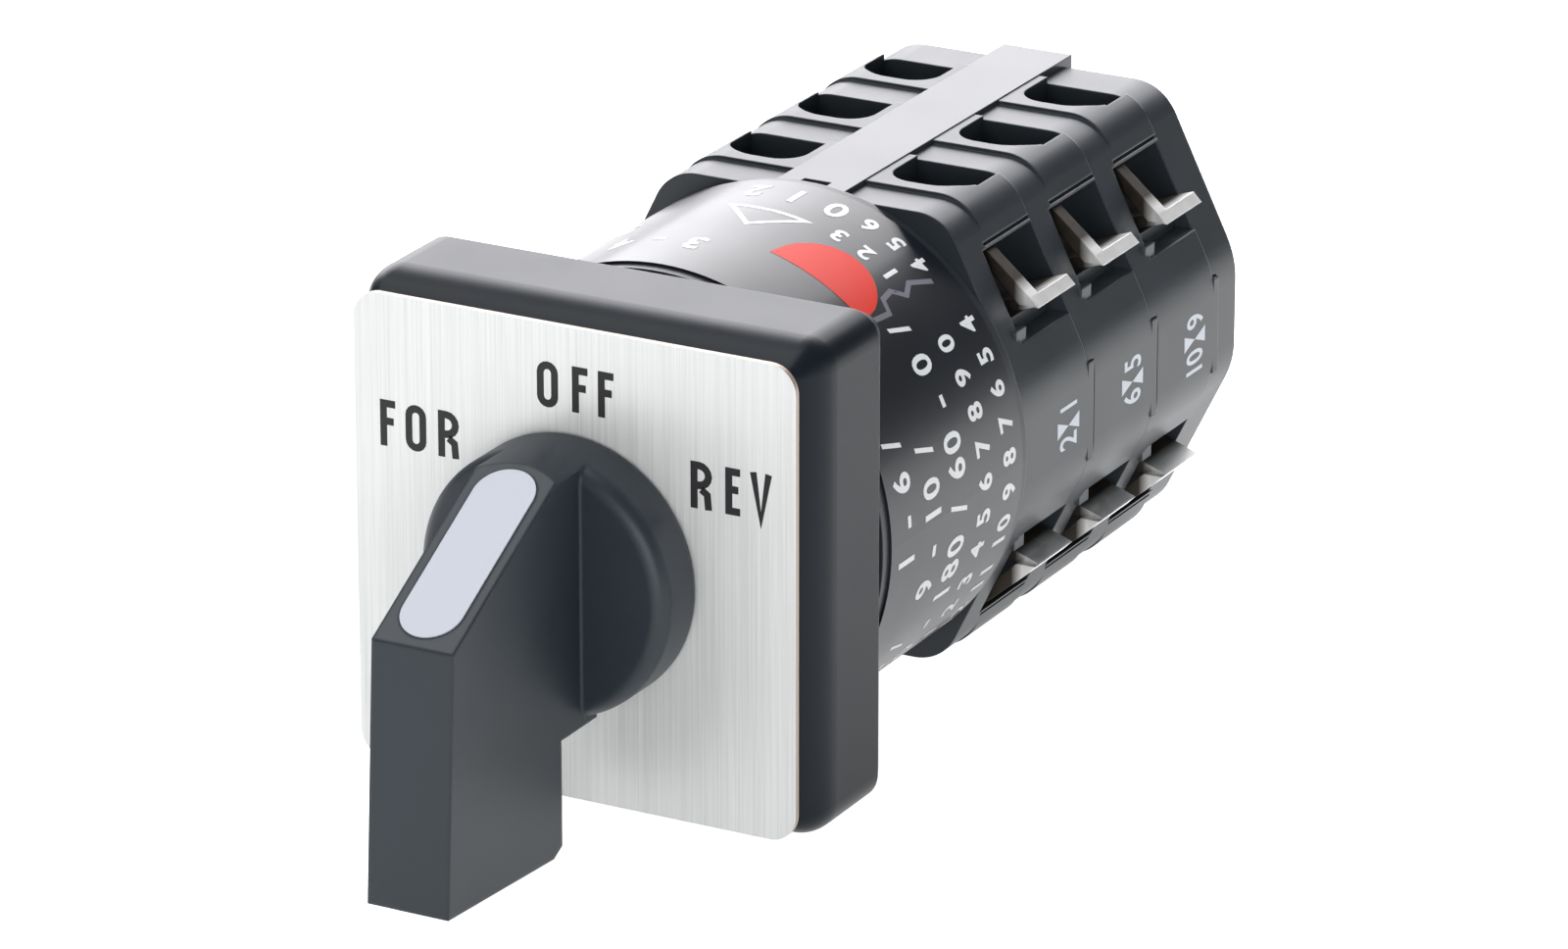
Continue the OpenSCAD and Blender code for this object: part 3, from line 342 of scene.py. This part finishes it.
def band(points, width, closed=False):
    """Flat mesh of an even band along a path, mitred at its corners."""
    points = [Vector(p) for p in points]
    n = len(points)
    sides = []
    for i, point in enumerate(points):
        ways = []
        if closed or i > 0:
            ways.append((point - points[i - 1]).normalized())
        if closed or i < n - 1:
            ways.append((points[(i + 1) % n] - point).normalized())
        way = sum(ways, Vector((0, 0))).normalized()
        across = Vector((-way.y, way.x)) * width / 2 / max(0.4, way.dot(ways[0]))
        sides += [(*(point + across), 0), (*(point - across), 0)]
    steps = [(i, (i + 1) % n) for i in range(n if closed else n - 1)]
    mesh = bpy.data.meshes.new("band")
    mesh.from_pydata(sides, [], [(2 * i, 2 * i + 1, 2 * j + 1, 2 * j) for i, j in steps])
    return mesh


def bend(x, z, r, start, stop, steps=8):
    """Points of an arc round a centre, in degrees."""
    turns = [math.radians(start + (stop - start) * i / steps) for i in range(steps + 1)]
    return [(x + r * math.cos(a), z + r * math.sin(a)) for a in turns]


def capital(letter, x0, x1, z0, z1, s):
    """Bands of one narrow capital that fills a box, with strokes s wide."""
    h = s / 2
    left, right, top, foot = x0 + h, x1 - h, z1 - h, z0 + h
    middle, waist = (x0 + x1) / 2, z0 + (z1 - z0) * 0.5
    r = (right - left) / 2
    stem = band([(left, z0), (left, z1)], s)
    if letter in "FE":
        arms = [(top, x1), (waist + h / 2, x1 - h / 2)] + ([(foot, x1)] if letter == "E" else [])
        return [stem] + [band([(left + h, z), (end, z)], s) for z, end in arms]
    if letter == "O":
        ring = bend(middle, top - r, r, 0, 180) + bend(middle, foot + r, r, 180, 360)
        return [band(ring, s, True)]
    if letter == "R":
        c = (top - waist) / 2
        bowl = [(left + h, top)] + bend(right - c, top - c, c, 90, -90) + [(left + h, waist)]
        leg = [(right - c * 0.8, waist - h), (right - h / 3, waist - s * 1.1), (right, z0)]
        return [stem, band(bowl, s), band(leg, s)]
    return [band([(x0 + h, z1), (middle, z0), (x1 - h, z1)], s * 0.94)]


legend_ink = moulded("legend_ink", (0.02, 0.018, 0.02), 0.5, grain=0.03, edge=0.02)
to_plate = Matrix(((1, 0, 0, 0), (0, 0, -1, 0), (0, 1, 0, 0), (0, 0, 0, 1)))
stroke = 0.76
legend_meshes = []
for word, z0, z1, places in (
        ("FOR", 8.5, 13.2, ((-21.1, -19.4), (-18.3, -16), (-14.7, -12.4))),
        ("OFF", 15.5, 20.1, ((-3.8, -1.5), (0, 1.7), (2.8, 4.5))),
        ("REV", 8.2, 12.9, ((12.7, 15), (16.4, 18), (19, 21.4)))):
    for letter, (x0, x1) in zip(word, places):
        for mesh in capital(letter, x0, x1, z0, z1, stroke):
            mesh.transform(Matrix.Scale(mm, 4))
            mesh.transform(Matrix.Translation((0, plate_front - ink_depth / 2, 0)) @ to_plate)
            legend_meshes.append(mesh)
print_on("legends", legend_meshes, legend_ink, "housing")

# Knob and pointer.
# A black moulding with a fine satin grain, and a smooth pale bar pressed into its slope.
knob_black = moulded(
    "knob_black", (0.018, 0.025, 0.033), 0.4, grain=0.22, grain_size=0.12, edge=0.55, shine=0.33)
dress(knob_black, "knob")
insert_white = moulded("insert_white", (0.53, 0.55, 0.62), 0.3, grain=0.03, edge=0.1, mottle=0.03)
dress(insert_white, "pointer_insert")

# Detent housing and its label.
# A round black cup, wrapped in a glossy film. Rows of plain numbers, an outlined triangle
# and a half-round red mark are printed on the film.
housing_black = moulded("housing_black", (0.03, 0.034, 0.04), 0.34, grain=0.08)
dress(housing_black, "mechanism_housing")
film_black = moulded(
    "film_black", (0.008, 0.01, 0.015), 0.34, grain=0.02, grain_size=0.5, edge=0.05, coat=0.1,
    shine=0.36)
dress(film_black, "label_sleeve")
film_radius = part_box("label_sleeve")[1].x


def letters(text, height, narrow=1, weight=0, spacing=1):
    """Flat mesh of a printed word, centred on its own origin, X along it and Y up."""
    capital_share = 0.7
    curve = bpy.data.curves.new(text, "FONT")
    curve.body = text
    curve.size = height / capital_share
    curve.offset = weight
    curve.space_character = spacing
    curve.align_x = "CENTER"
    curve.resolution_u = 4
    curve.extrude = ink_depth / 2
    holder = bpy.data.objects.new(text, curve)
    bpy.context.collection.objects.link(holder)
    bpy.context.view_layer.update()
    evaluated = holder.evaluated_get(bpy.context.evaluated_depsgraph_get())
    mesh = bpy.data.meshes.new_from_object(evaluated)
    bpy.data.objects.remove(holder)
    mesh.transform(Matrix.Diagonal((narrow, 1, 1, 1)) @ Matrix.Translation((0, -height / 2, 0)))
    return mesh


def wrapped(mesh, angle, y, lift=0.004 * mm):
    """Lays a flat mesh on the film: X runs up round the drum from angle, Y runs to the front."""
    for corner in mesh.vertices:
        turn = angle + corner.co.x / film_radius
        radius = film_radius + lift + corner.co.z + ink_depth / 2
        corner.co = (radius * math.cos(turn), y - corner.co.y, radius * math.sin(turn))
    return mesh


def half_round(length, depth, steps=24):
    """Flat mesh of a half-round mark, cut across so that it can be wrapped."""
    xs = [length * (i / steps - 0.5) for i in range(steps + 1)]
    edge = [(x, -depth * math.sqrt(max(0, 1 - (2 * x / length) ** 2)), 0) for x in xs]
    mesh = bpy.data.meshes.new("half_round")
    n = steps + 1
    mesh.from_pydata(
        [(x, 0, 0) for x in xs] + edge, [],
        [(i, i + 1, n + i + 1, n + i) for i in range(steps)])
    return mesh


film_ink = moulded("film_ink", (0.88, 0.89, 0.9), 0.35, grain=0.02, edge=0.02, mottle=0.02)
# Each row: its place back from the panel, its height, its turn up from the right, its text.
rows = (
    (3.9, 3.1, 8, "1 - 6 /"),
    (9.3, 3.1, -22, "7 - 8 /   9 - 10 /"),
    (14.7, 3.2, -6, "120 - 180 / 60 - 0 /"),
    (20.3, 2.6, -3, "1 2 3 4 5 6 7 8 9 0"),
    (25.5, 2.5, -4, "12 11 10 9 8 7 6 5 4"),
    (20.2, 2.3, 62, "1 2 3"),
    (25.1, 2.3, 60, "4 5 6"),
    (24.6, 3.2, 86, "0 1 2"),
    (7.6, 3.2, 100, "3 - 4"),
    (14.7, 3.1, 150, "5 - 6 /  7 - 8 /"),
    (20.3, 2.6, 160, "1 2 3 4 5 6 7 8"),
)
film_meshes = []
for y, height, turn, text in rows:
    mesh = letters(text, height * mm, narrow=0.95, weight=0.0001, spacing=1.25)
    film_meshes.append(wrapped(mesh, math.radians(turn), y * mm))
corners = [Vector((-4.2, -2.2)) * mm, Vector((4.2, -2.2)) * mm, Vector((0, 2.4)) * mm]
cuts = 12
outline = [
    a.lerp(b, i / cuts) for a, b in zip(corners, corners[1:] + corners[:1]) for i in range(cuts)]
outlined_triangle = band(outline, 0.5 * mm, True)
film_meshes.append(wrapped(outlined_triangle, math.radians(87), 17.6 * mm))
print_on("label_print", film_meshes, film_ink, "housing")

film_red = moulded(
    "film_red", (0.82, 0.04, 0.022), 0.45, grain=0.02, edge=0.02, mottle=0.05, shine=0.15)
red_mark = wrapped(
    half_round(11.8 * mm, 7.4 * mm), math.radians(62), 10.8 * mm, lift=0.008 * mm)
print_on("label_red_mark", [red_mark], film_red, "housing")

# Scuff of the label.
# The film is rubbed pale along a jagged line, where it was creased on the drum.
scuff = moulded("scuff", (0.2, 0.19, 0.23), 0.5, grain=0.2, edge=0.02, mottle=0.3)
# Its corners: the place back from the panel and the turn up from the right.
crease = ((12.4, 47.5), (15.2, 47), (16, 50.5), (18, 51.2), (19.6, 48.4), (21.4, 50.6), (24.8, 48))
crease_y, crease_turn = 18, 49
path = [(math.radians(a - crease_turn) * film_radius, (crease_y - y) * mm) for y, a in crease]
rubbed_line = wrapped(
    band(path, 0.6 * mm), math.radians(crease_turn), crease_y * mm, lift=0.002 * mm)
print_on("label_scuff", [rubbed_line], scuff, "housing")

# Contact decks, end plate and locking strips.
# Three mouldings of one tool, drawn together behind the housing, a cover with the rear
# bearing, and two smooth strips that hook over all of them.
deck_black = moulded(
    "deck_black", (0.024, 0.03, 0.036), 0.38, grain=0.08, grain_size=0.14, edge=0.26, shine=0.36)
decks = (1, 2, 3)
dress(deck_black, *[f"contact_deck_{n}" for n in decks], "end_plate")
strip_black = moulded("strip_black", (0.05, 0.055, 0.062), 0.3, grain=0.05, grain_size=0.3)
dress(strip_black, "locking_strip_top", "locking_strip_bottom")

# Terminal numbers.
# Pale printed figures on the flat sides, the odd one above, with two small triangles tip to
# tip between them.
side_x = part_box("contact_deck_1")[1].x
deck_front = [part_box(f"contact_deck_{n}")[0].y for n in decks]
deck_pitch = deck_front[2] - deck_front[1]
print_y = deck_front[0] + 10 * mm
figure_height, figure_step, figure_gap, pair_z = 3.6 * mm, 0.98, 0.85, 0.15
triangle_base, triangle_length = 1.75 * mm, 2.4 * mm
number_ink = moulded("number_ink", (0.72, 0.76, 0.82), 0.4, grain=0.05, edge=0.02, mottle=0.06)


def on_side(sign, y, z):
    """Places a flat mesh on a side: it reads upwards on the right and on the left alike."""
    turn = Matrix(((0, 0, sign, 0), (0, -sign, 0, 0), (1, 0, 0, 0), (0, 0, 0, 1)))
    return Matrix.Translation((sign * side_x, y, z)) @ turn


def triangle(base, length):
    """Flat mesh of a triangle with its tip at the origin and its base along X."""
    mesh = bpy.data.meshes.new("triangle")
    mesh.from_pydata([(-base / 2, length, 0), (base / 2, length, 0), (0, 0, 0)], [], [(0, 1, 2)])
    return mesh


number_meshes = []
for n in decks:
    middle = print_y + (n - 1) * deck_pitch
    for sign, first in ((1, 1), (-1, 3)):
        odd = 4 * (n - 1) + first
        for number, way in ((odd, 1), (odd + 1, -1)):
            mesh = letters(str(number), figure_height, narrow=0.62, weight=0.00008, spacing=0.95)
            z = pair_z + way * (figure_gap + figure_step * len(str(number)))
            mesh.transform(on_side(sign, middle, z * mm))
            number_meshes.append(mesh)
        for way in (1, -1):
            mesh = triangle(triangle_base, way * triangle_length)
            mesh.transform(on_side(sign, middle, 0) @ Matrix.Translation((0, 0, ink_depth)))
            number_meshes.append(mesh)
print_on("terminal_numbers", number_meshes, number_ink, "housing")

# Terminals and their fasteners.
# Stamped strips, silver-plated, painted dark inside the windows as painted shade and left in their
# own bright silver at their lips, with zinc-plated screws and square washers. The other screws and
# the shaft are plated alike.


def plated(name, colour, roughness, wear=0.12, painted_shade=None, shade_fade_span=(0, 0)):
    """Plated metal with a slightly cloudy gloss. Given a shade colour, it is painted that colour
    near the axis as painted shade, and turns to its own colour between two given distances from
    the axis."""
    cloud_size, rounding, dent_depth, gloss_spread = 1.4 * mm, 0.15 * mm, 0.02 * mm, 0.4
    material, nodes, links = new_material(name)
    out = nodes.new("ShaderNodeOutputMaterial")
    skin = nodes.new("ShaderNodeBsdfPrincipled")
    skin.inputs["Metallic"].default_value = 1
    place = nodes.new("ShaderNodeTexCoord")
    cloud = nodes.new("ShaderNodeTexNoise")
    cloud.inputs["Scale"].default_value = 1 / cloud_size
    cloud.inputs["Detail"].default_value = 6
    tone = nodes.new("ShaderNodeMix")
    tone.data_type = "RGBA"
    tone.inputs["A"].default_value = (*[c * (1 - wear) for c in colour], 1)
    tone.inputs["B"].default_value = (*colour, 1)
    gloss = nodes.new("ShaderNodeMapRange")
    gloss.inputs["To Min"].default_value = roughness * (1 - gloss_spread)
    gloss.inputs["To Max"].default_value = roughness * (1 + gloss_spread)
    soft = nodes.new("ShaderNodeBevel")
    soft.samples = 4
    soft.inputs["Radius"].default_value = rounding
    bump = nodes.new("ShaderNodeBump")
    bump.inputs["Strength"].default_value = 0.1
    bump.inputs["Distance"].default_value = dent_depth
    links.new(place.outputs["Object"], cloud.inputs["Vector"])
    links.new(cloud.outputs["Fac"], tone.inputs["Factor"])
    links.new(tone.outputs["Result"], skin.inputs["Base Color"])
    # Painted shade: near the axis the base colour is a given dark colour that stands in for the
    # shade inside the deck windows.
    if painted_shade:
        along = nodes.new("ShaderNodeSeparateXYZ")
        out_from_axis = nodes.new("ShaderNodeMath")
        out_from_axis.operation = "ABSOLUTE"
        share = nodes.new("ShaderNodeMapRange")
        share.inputs["From Min"].default_value = shade_fade_span[0]
        share.inputs["From Max"].default_value = shade_fade_span[1]
        shade = nodes.new("ShaderNodeMix")
        shade.data_type = "RGBA"
        shade.inputs["A"].default_value = (*painted_shade, 1)
        links.new(place.outputs["Object"], along.inputs["Vector"])
        links.new(along.outputs["X"], out_from_axis.inputs[0])
        links.new(out_from_axis.outputs[0], share.inputs["Value"])
        links.new(share.outputs["Result"], shade.inputs["Factor"])
        links.new(tone.outputs["Result"], shade.inputs["B"])
        links.new(shade.outputs["Result"], skin.inputs["Base Color"])
    links.new(cloud.outputs["Fac"], gloss.inputs["Value"])
    links.new(gloss.outputs["Result"], skin.inputs["Roughness"])
    links.new(cloud.outputs["Fac"], bump.inputs["Height"])
    links.new(soft.outputs["Normal"], bump.inputs["Normal"])
    links.new(bump.outputs["Normal"], skin.inputs["Normal"])
    links.new(skin.outputs[0], out.inputs["Surface"])
    return material


# The terminals' dark colour near the axis is painted shade for the inside of the windows; out at
# their lips they keep the bright silver.
terminal_silver = plated(
    "terminal_silver", (0.95, 0.94, 0.92), 0.52,
    painted_shade=(0.07, 0.06, 0.05), shade_fade_span=(20.4 * mm, 21.6 * mm))
zinc = plated("zinc", (0.5, 0.515, 0.54), 0.42)
dress(terminal_silver, *[f"terminals_{n}" for n in decks])
dress(
    zinc, "tie_screws", "bezel_screws", "knob_set_screw", "retaining_clip", "switch_shaft",
    *[f"terminal_screws_{n}" for n in decks], *[f"clamp_washers_{n}" for n in decks])

# Inner works.
# A brass bush, low-friction plastic wheel, cams and plungers, copper bridges, and springs of
# drawn wire. Each contact spring is held between its plunger and the deck's side.
dress(plated("bush_brass", (0.8, 0.6, 0.28), 0.3), "shaft_bush")
natural = moulded("natural_plastic", (0.72, 0.66, 0.52), 0.45, grain=0.05, mottle=0.05)
dress(natural, "detent_wheel", *[f"cam_{n}" for n in decks])
bridge_copper = plated("bridge_copper", (0.83, 0.5, 0.34), 0.3)
spring_wire = plated("spring_wire", (0.62, 0.63, 0.65), 0.25)
dress(spring_wire, "detent_spring")
for n in decks:
    for side in ("right", "left"):
        dress(natural, f"plunger_{n}_{side}")
        dress(bridge_copper, f"bridge_{n}_{side}")
        solid = bpy.data.objects[f"contact_spring_{n}_{side}"]
        dress(spring_wire, solid.name)
        low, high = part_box(solid.name)
        middle = (low + high) / 2
        coil = bpy.data.objects.new(f"spring_coil_{n}_{side}", solid.data.copy())
        bpy.context.collection.objects.link(coil)
        coil.matrix_world = solid.matrix_world
        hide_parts(solid.name)
        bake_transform(coil)
